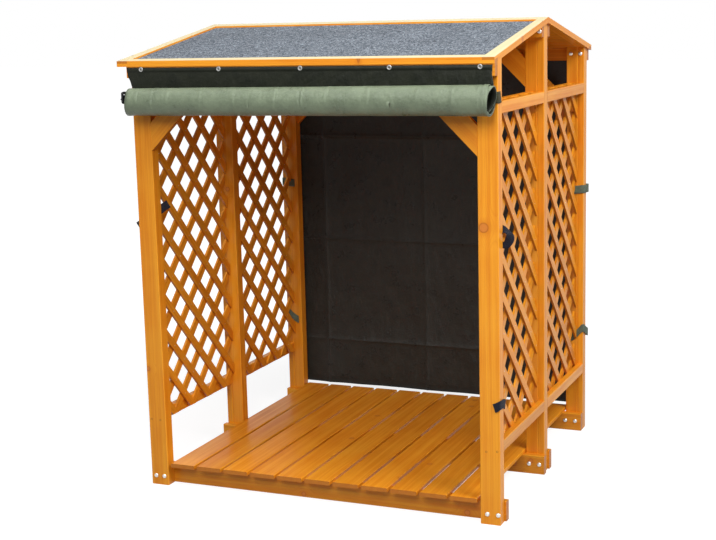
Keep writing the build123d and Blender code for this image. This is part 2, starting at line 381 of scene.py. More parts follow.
def wood(name):
    return Surface("timber_" + name, Specular_IOR_Level=0.12, Coat_Weight=0.3, Coat_Roughness=0.22)


def middle_of(node):
    low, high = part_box(node)
    return (low + high) / 2


def dress(node, material):
    """The node's own mesh with a new material."""
    mesh = nodes[node].data
    mesh.materials.clear()
    mesh.materials.append(material)


def single(node, along, across, seed, **looks):
    """Node of one straight board."""
    g = wood(node)
    dress(node, grain(boards_round(g, middle_of(node), along, across), seed, **looks))


def knot_place(node, place):
    """A knot's distance from the middle of its node, sideways and upwards."""
    x, z = place
    middle = middle_of(node)
    return at(x, 0, z).x - middle.x, at(x, 0, z).z - middle.z


def posts():
    for i, name in enumerate(("middle_stile", "middle_post", "rear_stile", "rear_post")):
        single(name + "_right", Z, X, 20.0 + i, knotty=0.35)
        single(name + "_left", Z, X, 30.0 + i, knotty=0.35)
    aside, up = knot_place("front_post_right", POST_KNOT)
    single("front_post_right", Z, X, 3.0, knots=[(up, aside, POST_KNOT_SIZE)], knotty=0.12)
    single("front_post_left", Z, X, 5.0, knotty=0.25)


def bearers_and_beams():
    aside, up = knot_place("front_bearer", BEARER_KNOT)
    single("front_bearer", X, Z, 9.0, knots=[(aside, up, BEARER_KNOT_SIZE)], knotty=0.2)
    for i, name in enumerate(("middle_bearer_front", "middle_bearer_back", "rear_bearer")):
        single(name, X, Z, 12.0 + i)
    for i, name in enumerate(("front_top_beam", "rear_top_beam", "ridge_beam_front", "ridge_beam_back")):
        single(name, X, Z, 50.0 + i)


def floor_boards():
    boards = boards_round(wood("floor_boards"), middle_of("floor_boards"), Y, X)
    boards.apart(1, FLOOR_STEP * MM)
    dress("floor_boards", grain(boards, 70.0))


def rails():
    """Each node holds the rails of both bays, so those past its middle count as other boards."""
    for side, sign in (("right", 1), ("left", -1)):
        for level, seed in (("top_rails_", 80.0), ("bottom_rails_", 90.0)):
            node = level + side
            g = wood(node)
            middle = middle_of(node)
            outer = sign * (SIDE_FACE + STILE_INNER) / 2
            boards = boards_round(g, Vector((at(outer, 0, 0).x, middle.y, middle.z)), Y, Z)
            boards.count(g.math("GREATER_THAN", boards.values[0], 0.0), 41.0)
            dress(node, grain(boards, seed + sign))


def braces():
    """Braces at 45 degrees on both sides: the left one is the mirror image of the right one."""
    for name in ("front_braces", "middle_braces", "rear_braces"):
        low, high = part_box(name)
        g = wood(name)
        x, y, z = g.split(g.position())
        aside = g.math("ABSOLUTE", g.minus(x, ORIGIN.x))
        aside = g.minus(aside, high.x - ORIGIN.x)
        height = g.minus(z, low.z)
        across = g.times(g.plus(height, aside), math.sqrt(0.5))
        values = [g.times(g.minus(height, aside), math.sqrt(0.5)),
                  g.minus(across, BRACE_WIDTH / 2 * MM), g.minus(y, (low.y + high.y) / 2)]
        boards = Boards(g, values, ((Z - X).normalized(), (Z + X).normalized(), Y))
        boards.count(g.math("GREATER_THAN", x, ORIGIN.x), 17.0)
        dress(name, grain(boards, 110.0, tone=0.97))


def lath_lines(node):
    """Angle of the rising and of the falling laths of a panel, with their first heights."""
    angles = (OUTER_ANGLE, INNER_ANGLE)
    return list(zip(angles if "left" in node else angles[::-1], LATH_STARTS[node]))


def lath_layer(g, depth, height, angle, start, sense):
    """Coordinates in one layer: along a lath, across it, and the lath's number."""
    run, rise = math.cos(angle), math.sin(angle)
    pace = LATH_PITCH * rise * MM
    above = g.minus(height, start * MM)
    along = g.plus(g.times(depth, run), g.times(above, sense * rise))
    away = g.minus(g.times(above, run), g.times(depth, sense * rise))
    number = g.math("ROUND", g.math("DIVIDE", away, pace))
    return g.combine(along, g.math("WRAP", away, pace / 2, -pace / 2), number)


def lattice():
    """Laths of each panel: the layer on the +X side falls towards the back, the other one rises."""
    for i, node in enumerate(LATH_STARTS):
        low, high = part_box(node)
        g = wood(node)
        x, y, z = g.split(g.position())
        falls = g.math("GREATER_THAN", x, (low.x + high.x) / 2)
        depth = g.minus(y, low.y)
        height = g.minus(z, low.z)
        layers = [lath_layer(g, depth, height, angle, start, sense)
                  for (angle, start), sense in zip(lath_lines(node), (1, -1))]
        along, across, number = g.split(g.mix(falls, *layers))
        values = [along, across, g.minus(x, (low.x + high.x) / 2)]
        boards = Boards(g, values, ((Y + Z).normalized(), (Z - Y).normalized(), X))
        boards.count(number, 3.0)
        boards.count(falls, 57.0)
        dress(node, grain(boards, 130.0 + i, knotty=0.3))


def roof_timber():
    """Trim, barge boards and ridge battens, which follow the slopes; their upward faces get a painted cream
    top light.
    """
    for i, (bay, along) in enumerate((("front", RISE), ("rear", FALL))):
        for j, side in enumerate(("left", "right")):
            single("barge_board_" + side + "_" + bay, along, X, 150.0 + 2 * i + j, bleached=0.75)
        single("ridge_batten_" + bay, X, along, 160.0 + i, bleached=0.75)
        single(bay + "_eave_trim", X, along, 165.0 + i, bleached=0.75)


# Felt


def felt_material():
    """Bitumen felt with mineral granules."""
    g = Surface("felt", Roughness=0.92, Specular_IOR_Level=0.25)
    place = g.position()
    speck = g.split(g.cells(place, 330.0, "Color"))[0]
    clump = g.split(g.cells(place, 120.0, "Color"))[1]
    cluster = g.noise(place, 75.0, 3.0, 0.75)
    patch = g.noise(place, 9.0, 3.0, 0.6)
    colour = g.ramp(speck, (0.0, (0.016, 0.020, 0.028)), (0.35, (0.062, 0.074, 0.095)),
                    (0.75, (0.19, 0.218, 0.258)), (1.0, (0.56, 0.61, 0.66)))
    colour = g.mix(g.fit(clump, 0.0, 1.0, 0.0, 0.6), colour, (0.036, 0.044, 0.058))
    colour = g.mix(g.fit(cluster, 0.42, 0.68, 0.0, 0.75), colour, (0.27, 0.305, 0.345))
    colour = g.mix(g.fit(patch, 0.3, 0.7, 0.22, 0.0), colour, (0.05, 0.056, 0.068))
    g.colour(colour)
    g.bump(g.plus(speck, g.times(cluster, 1.5)), 0.0012)
    return g.material


# Tarpaulin and webbing

THREAD_PITCH = 0.0022
PALE_CLOTH = {"dark": (0.130, 0.165, 0.104), "light": (0.190, 0.235, 0.152),
              "fine_tone": (0.25, 0.30, 0.21), "thread": (0.092, 0.120, 0.072), "gloss": 0.34}
DARK_CLOTH = {"dark": (0.010, 0.012, 0.008), "light": (0.017, 0.019, 0.012),
              "fine_tone": (0.028, 0.031, 0.021), "thread": (0.007, 0.008, 0.005), "gloss": 0.12}
# Dark face of the same cloth as DARK_CLOTH, on the rear tarpaulin: a lighter, brownish copy whose tint is
# painted bounce light from the timber
BOUNCE_LIT_INSIDE_CLOTH = {"dark": (0.022, 0.022, 0.019), "light": (0.032, 0.032, 0.027),
                "fine_tone": (0.046, 0.046, 0.038), "thread": (0.014, 0.014, 0.012), "gloss": 0.2}
RIB_PITCH = 0.0028


def tarpaulin_material(name, dark, light, fine_tone, thread, gloss):
    """Coated woven tarpaulin: fine ribs both ways, small creases and a soft sheen."""
    g = Surface("tarpaulin_" + name, Specular_IOR_Level=gloss)
    flat = g.attribute("flat")
    x, s, _ = g.split(flat)
    weave = g.times(g.ripple(x, THREAD_PITCH), g.ripple(s, THREAD_PITCH))
    scuff = g.noise(flat, 14.0, 4.0, 0.65)
    fine = g.noise(flat, 160.0, 3.0, 0.6)
    crumple = g.noise(g.stretch(flat, (26, 9, 1)), 1.0, 3.0, 0.6)
    colour = g.mix(g.fit(scuff, 0.3, 0.7), dark, light)
    colour = g.mix(g.fit(fine, 0.45, 0.75, 0.0, 0.3), colour, fine_tone)
    colour = g.mix(g.fit(weave, -1.0, 1.0, 0.0, 0.25), colour, thread)
    g.colour(colour)
    g.roughness(g.fit(scuff, 0.3, 0.7, 0.26, 0.38))
    under = g.bump(g.plus(scuff, crumple), 0.006, 0.7)
    g.bump(g.plus(weave, fine), 0.00025, 0.6, under)
    return g.material


def webbing_material(name, dark, light):
    """Woven webbing with a twill rib."""
    g = Surface(name, Roughness=0.75, Specular_IOR_Level=0.2, Sheen_Weight=0.05, Sheen_Roughness=0.4)
    flat = g.attribute("flat")
    x, s, _ = g.split(flat)
    weave = g.times(g.ripple(g.plus(x, s), RIB_PITCH), g.ripple(g.minus(x, s), RIB_PITCH))
    wear = g.noise(flat, 60.0, 3.0)
    worn = tuple(min(1, 1.6 * c + 0.01) for c in light)
    colour = g.mix(g.fit(weave, -1.0, 1.0), dark, light)
    colour = g.mix(g.fit(wear, 0.45, 0.8, 0.0, 0.5), colour, worn)
    g.colour(colour)
    g.bump(weave, 0.0005)
    return g.material


def zinc_material(name, dark, light):
    """Zinc-plated steel with a faint mottle."""
    g = Surface(name, Metallic=1.0)
    place = g.position()
    mottle = g.noise(place, 380.0, 3.0)
    g.colour(g.mix(g.fit(mottle, 0.3, 0.7), (dark, dark, dark * 0.97), (light, light, light * 0.97)))
    g.roughness(g.fit(mottle, 0.3, 0.7, 0.28, 0.46))
    g.bump(mottle, 0.0002)
    return g.material


def hole_shade_material():
    """Dark red-brown in a screw hole: painted shade of the hole, over a shallow recess."""
    g = Surface("screw_hole", Roughness=0.9)
    g.colour(g.mix(g.noise(g.position(), 900.0), (0.09, 0.020, 0.004), (0.26, 0.070, 0.012)))
    return g.material


def plastic_material():
    """Black moulded plastic with a fine grain."""
    g = Surface("buckle_plastic", Specular_IOR_Level=0.25)
    grit = g.noise(g.position(), 1600.0, 2.0)
    g.colour(g.mix(grit, (0.004, 0.004, 0.005), (0.012, 0.012, 0.014)))
    g.roughness(g.fit(grit, 0.3, 0.7, 0.35, 0.5))
    g.bump(grit, 0.0001)
    return g.material


# Meshes


def placed(name, data):
    """New object of the scene."""
    made = bpy.data.objects.new(name, data)
    scene.collection.objects.link(made)
    return made


def piece(name, points, faces, material, smooth=True):
    """Mesh from points in millimetres, which rides on the frame."""
    mesh = bpy.data.meshes.new(name)
    mesh.from_pydata([at(*p) for p in points], [], faces)
    mesh.materials.append(material)
    mesh.polygons.foreach_set("use_smooth", [smooth] * len(mesh.polygons))
    mesh.update()
    made = placed(name, mesh)
    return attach(made, "root")


def tube(rings, sides, closed=False):
    """Faces between rings of points, with a cap at each end unless the last ring meets the first."""
    faces = []
    for ring in range(rings if closed else rings - 1):
        for i in range(sides):
            a, b, j = ring * sides, (ring + 1) % rings * sides, (i + 1) % sides
            faces.append((a + i, a + j, b + j, b + i))
    if not closed:
        faces += [tuple(reversed(range(sides))), tuple(range((rings - 1) * sides, rings * sides))]
    return faces


def joined(forms):
    """Forms, each of points and faces, as one."""
    points, faces = [], []
    for more, rings in forms:
        faces += [tuple(i + len(points) for i in face) for face in rings]
        points += more
    return points, faces


def cloth(name, grid, flat, thickness, materials):
    """Sheet with a real thickness and two faces; flat holds the place of each point in the cloth."""
    rows, columns = grid.shape[:2]
    normals = np.cross(np.gradient(grid, axis=1), np.gradient(grid, axis=0))
    normals /= np.maximum(np.linalg.norm(normals, axis=2, keepdims=True), 1e-9)
    thick = np.broadcast_to(thickness, (rows, columns))[:, :, None]
    sides = [grid + normals * thick / 2, grid - normals * thick / 2]
    points = np.concatenate([side.reshape(-1, 3) for side in sides])
    count = rows * columns
    index = np.arange(count).reshape(rows, columns)
    quads = np.stack([index[:-1, :-1], index[:-1, 1:], index[1:, 1:], index[1:, :-1]], axis=2)
    quads = quads.reshape(-1, 4)
    rim = np.concatenate([index[0, :-1], index[:-1, -1], index[-1, :0:-1], index[:0:-1, 0]])
    after = np.roll(rim, -1)
    faces = np.stack([quads[:, ::-1], quads + count], axis=1).reshape(-1, 4).tolist()
    faces += np.stack([rim, after, after + count, rim + count], axis=1).tolist()
    made = piece(name, points, faces, materials[0])
    made.data.materials.append(materials[1])
    dark_faces = [i % 2 if i < 2 * len(quads) else 0 for i in range(len(faces))]
    made.data.polygons.foreach_set("material_index", dark_faces)
    flats = np.zeros((2 * count, 3), np.float32)
    flats[:, :2] = np.tile(flat.reshape(-1, 2), (2, 1)) * MM
    layer = made.data.attributes.new("flat", "FLOAT_VECTOR", "POINT")
    layer.data.foreach_set("vector", flats.ravel())
    return made


def wave(x, y, seed):
    """Smooth noise from -1 to 1."""
    return noise.noise(Vector((x, y, seed)))


# Front tarpaulin, hung from the front beam and rolled up below it

TARP_FACE = EAVE_FRONT - 1.6
TARP_TOP = reach("front_tarp")[1].z
ROLL_LOW = reach("front_tarp")[0]
ROLL_DEPTH, ROLL_HEIGHT = 86.0, 102.0
ROLL_Y = ROLL_LOW.y + ROLL_DEPTH / 2
ROLL_Z = ROLL_LOW.z + ROLL_HEIGHT / 2
CLOTH_THICKNESS = 0.9
SIDE_HEM, HEM_THICKNESS = 16.0, 2.6
LAYER_GAP = 4.1
TURNS = 7.6
HEM = 13.0
ROLL_START = -32.0
# The outer turns have more points; the roll gets thinner and hangs lower towards its left end
OUTER_TURNS, OUTER_STEPS, INNER_STEPS = 1.1, 44, 18
ROLL_TAPER, ROLL_SINK = 0.02, 2.5
COLUMNS = 110
# Creases across the roll: place along it, width, height, angle of their middle, half angle, slant
CREASES = [
    (-538, 4.0, 1.6, 200, 70, 0), (-476, 5.0, 1.2, 215, 50, 4), (-347, 3.5, 1.8, 215, 60, 0),
    (-220, 4.0, 1.5, 205, 60, -3), (-165, 3.0, 1.4, 190, 50, 0), (-66, 4.0, 1.7, 210, 70, 2),
    (22, 3.0, 2.0, 210, 60, 0), (34, 3.0, 1.7, 210, 60, 0), (269, 4.0, 1.6, 215, 60, 0),
    (436, 4.5, 2.4, 208, 55, 14), (556, 4.0, 1.6, 210, 60, 0), (120, 5.0, 1.0, 225, 60, 6),
    (350, 5.0, 1.0, 190, 50, -8), (-600, 4.0, 1.2, 200, 60, 5), (640, 2.5, 1.4, 205, 80, 0),
    (655, 2.5, 1.4, 205, 80, 0),
]
CREASE_STRENGTH, CREASED_TURNS = 1.8, 3


def roll_relief(x, turn):
    """How far the cloth of the roll stands out at a place along it."""
    angle = turn * 360 % 360
    out = 1.3 * wave(x / 130, angle / 75, 3.1) + 0.5 * wave(x / 34, angle / 40, 8.2)
    for place, width, height, middle, spread, slant in CREASES:
        across = (angle - middle) / spread
        if abs(across) < 1:
            shift = (x - place - slant * across) / width
            out += CREASE_STRENGTH * height * math.exp(-shift * shift) * (1 - across * across)
    return out * max(0.0, 1 - turn / CREASED_TURNS)


# Edges of the cloth: length of cloth from its top, and place across
LEFT_HEM = ((0, -672), (30, -669), (45, -661), (75, -651), (110, -653), (126, -653), (200, -648),
            (274, -638), (348, -646), (420, -645), (500, -638), (3000, -634))
RIGHT_HEM = ((0, 668), (30, 666), (60, 671), (110, 675), (126, 675), (200, 668), (274, 675), (310, 670),
             (348, 667), (420, 674), (490, 668), (540, 672), (575, 684), (640, 682), (690, 664), (780, 640),
             (1100, 622), (3000, 590))
# Length of cloth from the top to the face of the roll
FACE_DEPTH = 200.0


def hems(depth):
    """Left and right edge of the front tarpaulin, by the length of cloth from its top."""
    return [np.interp(depth, *zip(*hem)) for hem in (LEFT_HEM, RIGHT_HEM)]


def tarpaulin_line():
    """Section of the cloth from its top: depth, height and turn of the roll, which is -1 above it."""
    roll_top = ROLL_Z - ROLL_HEIGHT / 2 * math.sin(math.radians(ROLL_START))
    heights = [TARP_TOP, TARP_TOP - HEM, *np.linspace(TARP_TOP - HEM - 1, roll_top + 4, 14)]
    line = [(TARP_FACE, z, -1.0) for z in heights]
    mean = (ROLL_DEPTH + ROLL_HEIGHT) / 4
    for turn in [*np.arange(ROLL_START / 360, OUTER_TURNS, 1 / OUTER_STEPS),
                 *np.arange(OUTER_TURNS, TURNS, 1 / INNER_STEPS)]:
        size = 1 - max(turn, 0) * LAYER_GAP / mean
        angle = turn * 2 * math.pi
        y = ROLL_Y + size * ROLL_DEPTH / 2 * math.cos(angle)
        z = ROLL_Z - size * ROLL_HEIGHT / 2 * math.sin(angle)
        line.append((y, z, turn))
    return np.array(line)


def tarpaulin_columns():
    """Shares of the width at which the cloth has points, closer together at each crease."""
    low, high = hems(FACE_DEPTH)
    shares = set(np.linspace(0, 1, COLUMNS))
    for place, width, *_ in CREASES:
        shares.update((place + d * width - low) / (high - low) for d in (-1.6, -0.8, 0, 0.8, 1.6))
    return sorted(share for share in shares if 0 <= share <= 1)


def curtain_point(x, y, z):
    """The hanging part is doubled at its top hem and a little wrinkled below it."""
    drop = TARP_TOP - z
    start = min(1, drop / 30)
    out = 1.2 if drop <= HEM else 0
    out += (0.6 + 0.6 * wave(x / 90, z / 70, 1.7)) * start * 1.6
    out += 1.1 * wave((x + 1.6 * drop) / 21, (x - drop) / 160, 4.4) * start
    return x, y - out, z


def roll_point(x, y, z, turn):
    out = roll_relief(x, max(turn, 0)) * min(1, (turn - ROLL_START / 360) * 6)
    away = Vector((y - ROLL_Y, z - ROLL_Z)).normalized()
    height = (z + away.y * out - ROLL_LOW.z) * (1 - ROLL_TAPER + ROLL_TAPER * x / HALF)
    return x, y + away.x * out, ROLL_LOW.z + height - ROLL_SINK * (1 - x / HALF)


def front_tarpaulin(materials):
    """One sheet: the curtain, then a spiral of turns."""
    line = tarpaulin_line()
    lengths = np.concatenate([[0], np.cumsum(np.hypot(np.diff(line[:, 0]), np.diff(line[:, 1])))])
    shares = tarpaulin_columns()
    grid, flat, thickness = [], [], []
    for (y, z, turn), length in zip(line, lengths):
        low, high = hems(length)
        across = [low + (high - low) * share for share in shares]
        above = turn < ROLL_START / 360
        grid.append([curtain_point(x, y, z) if above else roll_point(x, y, z, turn) for x in across])
        flat.append([(x, length) for x in across])
        hem = HEM_THICKNESS if turn > 0.1 else CLOTH_THICKNESS
        thickness.append([hem if min(x - low, high - x) < SIDE_HEM else CLOTH_THICKNESS for x in across])
    made = cloth("front_tarpaulin", np.array(grid), np.array(flat), thickness, materials)
    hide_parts("front_tarp")


# Rear tarpaulin

REAR_LOW, REAR_HIGH = reach("rear_tarp")
REAR_FOLDS_UP = (-493.0, -34.0, 425.0)
REAR_FOLDS_ACROSS = (1190.0, 740.0, 290.0)
FOLD_STEPS = (-5, -2, 0, 2, 5)
REAR_HEM = 25
# The billow starts so far below the top, grows over so much more and ends at its limit
BILLOW_START, BILLOW_GROWTH, BILLOW_LIMIT = 42, 160, 4.0


def fold(away):
    """How far the cloth dips in at a distance from one of its folds."""
    return 3.2 * math.exp(-(away / 5) ** 2) + 2.5 * math.exp(-(away / 40) ** 2)


def rear_point(x, z):
    """Place in a slight billow that starts below the beam."""
    hang = min(1.0, max(0.0, (REAR_HIGH.z - BILLOW_START - z) / BILLOW_GROWTH))
    out = -6 + 8 * wave(x / 260, z / 340, 5.5) + 3.0 * wave(x / 90, z / 150, 9.1)
    out += 1.2 * wave(x / 30, z / 45, 2.4)
    for place in REAR_FOLDS_UP:
        out -= fold(x - place)
    for place in REAR_FOLDS_ACROSS:
        out -= fold(z - place)
    hem = 0.8 if z > REAR_HIGH.z - REAR_HEM or z < REAR_LOW.z + REAR_HEM else 0
    return x, (REAR_LOW.y + REAR_HIGH.y) / 2 - 0.4 + min(BILLOW_LIMIT, out) * hang + hem, z


def rear_tarpaulin(materials):
    """Hangs behind the rear beam, with the folds of its packing."""
    columns = sorted({*np.linspace(REAR_LOW.x, REAR_HIGH.x, 90),
                      *(place + step for place in REAR_FOLDS_UP for step in FOLD_STEPS)})
    hem_rows = [edge + step for edge in (REAR_LOW.z + REAR_HEM, REAR_HIGH.z - REAR_HEM) for step in (-1, 1)]
    rows = sorted({*np.linspace(REAR_LOW.z, REAR_HIGH.z, 100), *hem_rows,
                   *(place + step for place in REAR_FOLDS_ACROSS for step in FOLD_STEPS)}, reverse=True)
    grid = np.array([[rear_point(x, z) for x in columns] for z in rows])
    flat = np.array([[(x, -z) for x in columns] for z in rows])
    made = cloth("rear_tarpaulin", grid, flat, CLOTH_THICKNESS, materials)
    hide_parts("rear_tarp")


# Roof boards

ROOF_BOARDS = 7
BOARD_GROOVE = 3.0
DECK = 12.0


def underside(y):
    """Underside of the roof boards above the line y."""
    eave = reach("roof_boards_front")[0]
    return eave.z + (RIDGE_Y - eave.y - abs(RIDGE_Y - y)) * math.tan(PITCH)


def roof_board(y0, y1, edges, low, deep):
    """One board from side to side; its underside is cut back at both joints."""
    plumb = DECK / math.cos(PITCH)
    shape = [(y0, plumb), (y1, plumb), (y1, BOARD_GROOVE), (y1 - BOARD_GROOVE, 0),
             (y0 + BOARD_GROOVE, 0), (y0, BOARD_GROOVE)]
    points = []
    for end in (0, 1):
        for y, up in shape:
            x = edges[0][end] + (edges[1][end] - edges[0][end]) * ((y - low) / deep)
            points.append((x, y, underside(y) + up))
    return points, tube(2, len(shape))


def roof_boards(node, seed):
    """Tongued boards that run from side to side, with a groove at each joint on the underside."""
    low, high = reach(node)
    deep = high.y - low.y
    joints = [low.y + deep * i / ROOF_BOARDS for i in range(ROOF_BOARDS + 1)]
    edges = side_edges(node)
    points, faces = joined(roof_board(y0, y1, edges, low.y, deep) for y0, y1 in zip(joints, joints[1:]))
    pace = deep / ROOF_BOARDS / math.cos(PITCH)
    first = at(0, low.y + pace / 2, underside(low.y + pace / 2))
    boards = boards_round(wood(node), first, X, RISE if node.endswith("front") else FALL)
    boards.apart(1, pace * MM)
    material = grain(boards, seed, tone=0.86, knotty=0.6)
    made = piece(node + "_tongued", points, faces, material, smooth=False)
    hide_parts(node)


def side_edges(node):
    """Left and right edge of a roof slope, at its front and at its back."""
    ends = []
    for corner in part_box(node):
        xs = [v.co.x for v in nodes[node].data.vertices if abs(v.co.y - corner.y) < 0.0005]
        ends.append([(x - ORIGIN.x) / MM for x in (min(xs), max(xs))])
    return ends


# Fixings


def turned(profile, centre, axis, sides=20):
    """Points and faces of a turned form; the profile gives radius and height from its face outward."""
    axis = Vector(axis).normalized()
    across = axis.orthogonal().normalized()
    other = axis.cross(across)
    points = []
    for radius, height in profile:
        for i in range(sides):
            turn = 2 * math.pi * i / sides
            ray = across * math.cos(turn) + other * math.sin(turn)
            points.append(Vector(centre) + axis * height + ray * radius)
    return points, tube(len(profile), sides)


def many(name, profile, places, material, sides=20):
    """The same turned form at several places, as one piece."""
    points, faces = joined(turned(profile, centre, axis, sides) for centre, axis in places)
    return piece(name, points, faces, material)


def dome(radius, height, rings=5):
    """Profile of a domed head."""
    steps = [math.pi / 2 * i / rings for i in range(rings)]
    rise = [(radius * math.cos(t), height * math.sin(t)) for t in steps]
    return [(radius, -1.0), *rise, (radius * 0.08, height)]


BOLT_HEAD = dome(8.2, 4.6)
WASHER = [(8.2, -0.6), (8.2, 0.9), (7.6, 1.4), (4.4, 1.4), (4.0, 0.8), (3.6, 0.2), (0.3, 0.2)]
SCREW_HEAD = [(3.4, 0.0), (3.4, 1.2), (2.7, 1.9), (1.5, 2.1), (1.3, 1.4), (0.3, 1.3)]
NAIL_HEAD = dome(1.7, 0.6, 2)
SCREW_HOLE = [(3.6, -0.4), (3.6, 0.15), (2.7, 0.15), (2.2, -0.3), (0.2, -0.3)]
FRONT, BACK = Vector((0, -1, 0)), Vector((0, 1, 0))
# Places across and heights; all but the front ones are on both sides
FRONT_BOLTS = ((629, 36), (667, 36), (-656, 34), (-622, 34))
MIDDLE_BOLTS = ((614, 38), (653, 38))
REAR_BOLTS = ((600, 40), (641, 40))
REAR_BEAM_BOLTS = ((612, 1527), (650, 1527))
RIDGE_BOLTS = ((656, 1626),)
HOLES = ((627, 254), (665, 258), (-663, 250), (-627, 249), (660, 1498))
FRONT_SCREWS, FRONT_SCREW_LEVEL, FRONT_SEAT = (-614, -307, 0, 319, 627), 1529, TARP_FACE - 1.8
REAR_SCREWS, REAR_SCREW_LEVEL, REAR_SEAT = (-610, -305, 0, 305, 610), 1521, REAR_HIGH.y + 0.2
CROSSING_MARGIN = 12


def bolt_places():
    """Bolts at the feet, at the rear beam and at the ridge, with the way each one faces."""
    rear_foot = reach("rear_bearer")[0].y
    places = [((x, 0, z), FRONT) for x, z in FRONT_BOLTS]
    for side in (1, -1):
        places += through(side, MIDDLE_BOLTS, "middle_bearer_front", "middle_bearer_back")
        places += [((side * x, rear_foot, z), FRONT) for x, z in REAR_BOLTS]
        places += [((side * x, REAR_FRONT, z), FRONT) for x, z in REAR_BEAM_BOLTS]
        places += through(side, RIDGE_BOLTS, "ridge_beam_front", "ridge_beam_back")
    return places


def through(side, bolts, front, back):
    """Bolts that show on the front of one node and on the back of another."""
    low, high = reach(front)[0].y, reach(back)[1].y
    return [((side * x, y, z), way) for x, z in bolts for y, way in ((low, FRONT), (high, BACK))]


def fixings():
    """Bolts, screws with washers, nails and screw holes."""
    steel = zinc_material("zinc_bright", 0.50, 0.76)
    many("bolts", BOLT_HEAD, bolt_places(), steel)
    screws = [((x, FRONT_SEAT, FRONT_SCREW_LEVEL), FRONT) for x in FRONT_SCREWS]
    screws += [((x, REAR_SEAT, REAR_SCREW_LEVEL), BACK) for x in REAR_SCREWS]
    many("tarpaulin_washers", WASHER, screws, zinc_material("zinc_grey", 0.28, 0.44))
    many("tarpaulin_screws", SCREW_HEAD, screws, zinc_material("zinc_dark", 0.09, 0.16))
    many("lattice_nails", NAIL_HEAD, list(crossings()), steel, sides=8)
    holes = [((x, 0, z), FRONT) for x, z in HOLES]
    many("screw_holes", SCREW_HOLE, holes, hole_shade_material(), sides=14)


def crossings():
    """Places where two laths cross, on the +X face of each panel."""
    for node in LATH_STARTS:
        low, high = reach(node)
        deep, tall = high.y - low.y, high.z - low.z
        (up_angle, up_start), (down_angle, down_start) = lath_lines(node)
        up, down = math.tan(up_angle), math.tan(down_angle)
        for i in range(-6, 12):
            for j in range(-6, 16):
                rising = up_start + i * LATH_PITCH * up
                falling = down_start + j * LATH_PITCH * down
                y = (falling - rising) / (up + down)
                z = rising + up * y
                if min(y, deep - y, z, tall - z) > CROSSING_MARGIN:
                    yield (high.x, low.y + y, low.z + z), (1, 0, 0)


# Straps of webbing on the posts


def strap(name, route, width, material):
    """Flat webbing along a smooth route, which gives places and cross directions."""
    spine, cross = (np.array(part, float) for part in zip(*route))
    fine = np.linspace(0, len(spine) - 1, (len(spine) - 1) * 8 + 1)
    line, cross = smooth_through(spine, fine), smooth_through(cross, fine)
    cross /= np.linalg.norm(cross, axis=1, keepdims=True)
    shares = np.linspace(-0.5, 0.5, 9)
    grid = line[:, None, :] + cross[:, None, :] * shares[None, :, None] * width
    lengths = np.concatenate([[0], np.cumsum(np.linalg.norm(np.diff(line, axis=0), axis=1))])
    flat = np.stack(np.broadcast_arrays(shares * width, lengths[:, None]), axis=2)
    made = cloth(name, grid, flat, STRAP_THICKNESS, (material, material))
    return made


def smooth_through(values, fine):
    """Catmull-Rom curve through the values."""
    ends = np.concatenate([[2 * values[0] - values[1]], values, [2 * values[-1] - values[-2]]])
    i = np.minimum(fine.astype(int), len(values) - 2)
    t = (fine - i)[:, None]
    a, b, c, d = ends[i], ends[i + 1], ends[i + 2], ends[i + 3]
    bend, twist = 2 * a - 5 * b + 4 * c - d, 3 * b - a - 3 * c + d
    return 0.5 * (2 * b + (c - a) * t + bend * t ** 2 + twist * t ** 3)


STRAP_WIDTH = 30.0
GREEN_STRAP_WIDTH = 32.0
STRAP_THICKNESS = 1.6
STRAP_Y = POST_BACK + 3
UP = (0, 0, 1)
# Rear straps: level, how far the part on the post tilts, and how far the part beside it sags
REAR_STRAPS = {"upper": (991, 3, 3), "lower": (407, 26, 30)}


def front_strap_right_upper():
    """Loop that sags beside the post: its upper arm is seen on edge, its lower arm flat."""
    x, y = HALF, STRAP_Y
    return [
        ((x - 10, y - 1, 1001), (0, 0.3, 1)), ((x + 1, y, 998), (0.1, 0.6, 0.7)),
        ((x + 13, y + 2, 992), (0.25, 0.95, 0.1)), ((x + 22, y + 3, 983), (0.5, 0.85, 0)),
        ((x + 22, y + 3, 968), (0.9, 0.45, -0.15)), ((x + 15, y + 3, 954), (0.95, 0, -0.3)),
        ((x + 4, y + 2, 948), (0.6, 0, -0.8)), ((x - 14, y + 1, 954), (0.1, 0, -1)),
        ((POST_INNER - 8, y + 1, 962), (0, 0, -1)),
    ]


def front_strap_right_lower():
    """End that comes round the post's outer side on to its front."""
    x, y = HALF, STRAP_Y
    return [
        ((x - 19, -3, 407), (-0.32, 0, 0.95)), ((x - 8, -3, 412), (-0.28, 0, 0.95)),
        ((x - 1, -3, 417), (-0.1, 0, 1)), ((x + 3, 6, 419), UP), ((x + 3, 30, 417), (0, 0.2, 1)),
        ((x + 3, 50, 411), (0, 0.35, 0.95)), ((x - 3, 60, 405), (0, 0.3, 0.95)),
        ((x - 20, y + 3, 402), UP), ((POST_INNER - 8, y + 1, 400), UP),
    ]


def front_strap_left(x, z, right, up, count, lean):
    """Straight across the back of the left front post, with an end out beside it."""
    return [((-HALF + x + right * i, STRAP_Y, z + up * i), lean) for i in range(count)]


def rear_strap(side, level, tilt, sag):
    """On the front of a rear post, round its outer side and on to the rear tarpaulin."""
    face, outer, behind = REAR_FRONT - 2, SIDE_FACE + 3, REAR_HIGH.y + 3
    end = level + tilt * 0.7 - sag
    places = [
        (PAIR_INNER + 14, face, level - tilt), (SIDE_FACE - 30, face, level - tilt * 0.4),
        (SIDE_FACE - 6, face - 1, level + tilt * 0.6), (outer, face + 6, level + tilt * 0.7),
        (outer, face + 30, end + sag * 0.6), (outer, behind - 8, end),
        (SIDE_FACE - 6, behind, end), (SIDE_FACE - 40, behind, end),
    ]
    return [((side * x, y, z), UP) for x, y, z in places]


